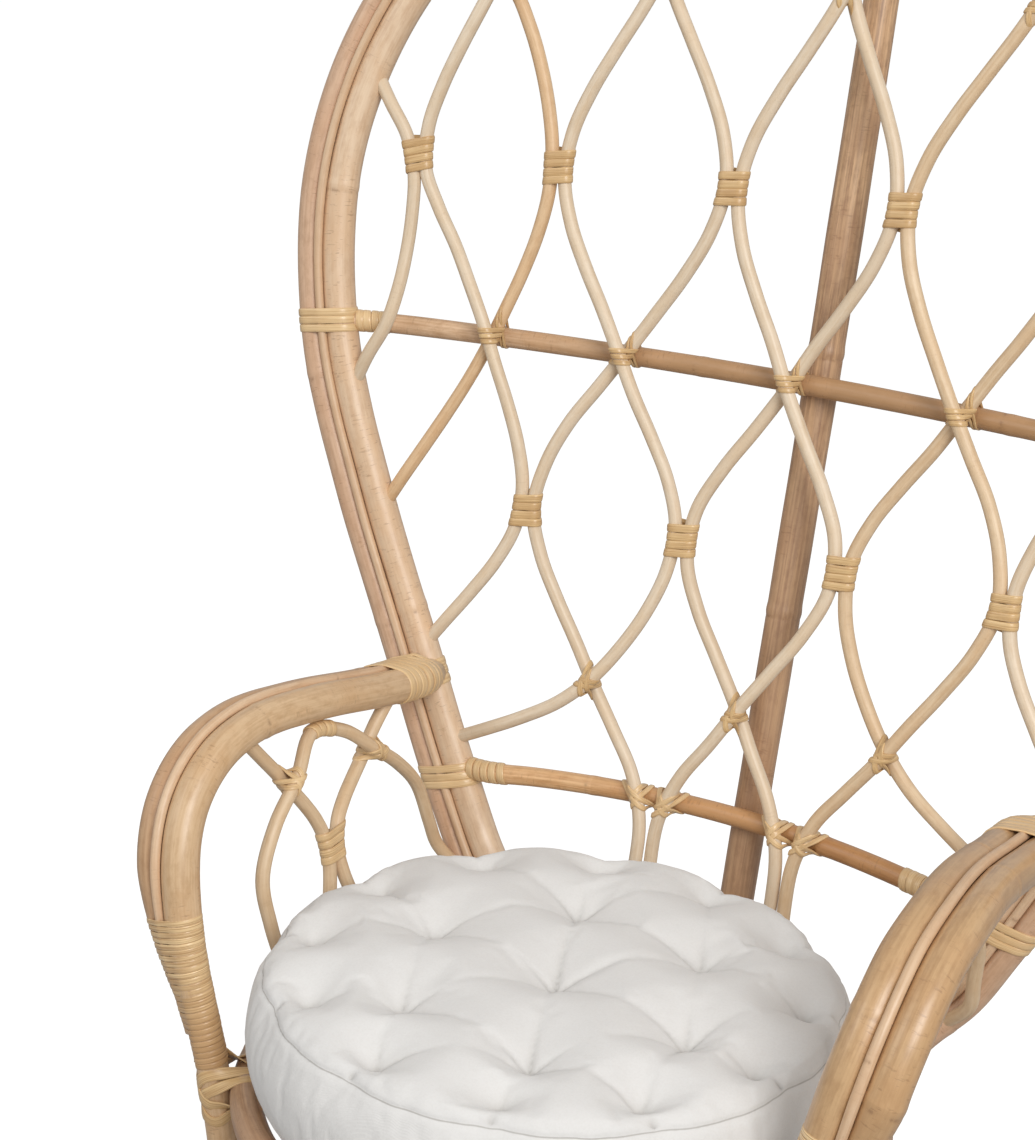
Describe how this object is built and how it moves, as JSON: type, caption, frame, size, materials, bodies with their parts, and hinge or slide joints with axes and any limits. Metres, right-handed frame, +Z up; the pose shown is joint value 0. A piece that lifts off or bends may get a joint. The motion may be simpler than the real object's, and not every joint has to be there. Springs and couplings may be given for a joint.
{
  "type": "peacock chair",
  "caption": "Rattan peacock chair with a tall balloon-shaped lattice back, bent double-pole arms, a round ringed base and a loose, round, tufted seat cushion.",
  "frame": {"origin": "On the floor, in the middle of the chair's whole box.", "axes": "+Z up; the chair faces -Y; +X is to the right of someone looking at its front."},
  "size_m": [1.0236, 0.8314, 1.5097],
  "materials": {
    "pole_rattan": "honey-tan rattan pole, satin, with darker streaks and growth rings",
    "cane_rattan": "pale cream cored cane, matt",
    "bar_rattan": "orange-brown rattan pole, satin",
    "strut_rattan": "brown rattan pole, satin",
    "peel": "glossy yellow-beige rattan peel",
    "cotton": "off-white plain-woven cotton"
  },
  "bodies": {
    "frame": {"hoop_inner_pole": "pole_rattan", "hoop_outer_pole": "pole_rattan", "hoop_reed": "pole_rattan", "upper_bar": "bar_rattan", "lower_bar": "bar_rattan", "spine_pole": "strut_rattan", "seat_ring": "strut_rattan", "floor_ring": "strut_rattan", "seat_slat_1": "strut_rattan", "seat_slat_2": "strut_rattan", "seat_slat_3": "strut_rattan", "seat_slat_4": "strut_rattan", "seat_slat_5": "strut_rattan", "arm_inner_pole_left": "pole_rattan", "arm_outer_pole_left": "pole_rattan", "arm_reed_left": "pole_rattan", "back_cane_middle_left": "cane_rattan", "back_cane_inner_left": "cane_rattan", "back_cane_outer_left": "cane_rattan", "back_cane_wing_left": "cane_rattan", "back_cane_brace_left": "cane_rattan", "back_cane_rim_left": "cane_rattan", "arm_cane_arch_left": "cane_rattan", "arm_cane_front_left": "cane_rattan", "arm_cane_rear_left": "cane_rattan", "post_binding_left": "peel", "arm_end_binding_left": "peel", "upper_bar_binding_left": "peel", "lower_bar_binding_left": "peel", "arm_inner_pole_right": "pole_rattan", "arm_outer_pole_right": "pole_rattan", "arm_reed_right": "pole_rattan", "back_cane_middle_right": "cane_rattan", "back_cane_inner_right": "cane_rattan", "back_cane_outer_right": "cane_rattan", "back_cane_wing_right": "cane_rattan", "back_cane_brace_right": "cane_rattan", "back_cane_rim_right": "cane_rattan", "arm_cane_arch_right": "cane_rattan", "arm_cane_front_right": "cane_rattan", "arm_cane_rear_right": "cane_rattan", "post_binding_right": "peel", "arm_end_binding_right": "peel", "upper_bar_binding_right": "peel", "lower_bar_binding_right": "peel", "base_cane_1_front": "cane_rattan", "base_cane_1_back": "cane_rattan", "base_cane_2_front": "cane_rattan", "base_cane_2_back": "cane_rattan", "base_cane_3_front": "cane_rattan", "base_cane_3_back": "cane_rattan", "base_cane_4_front": "cane_rattan", "base_cane_4_back": "cane_rattan", "base_cane_5_front": "cane_rattan", "base_cane_5_back": "cane_rattan"},
    "cushion": {"cushion": "cotton"}
  },
  "joints": [
    {"name": "cushion_lift", "type": "slide", "parent": "frame", "child": "cushion", "axis": [0, 0, 1], "range_m": [0, 0.3]}
  ]
}
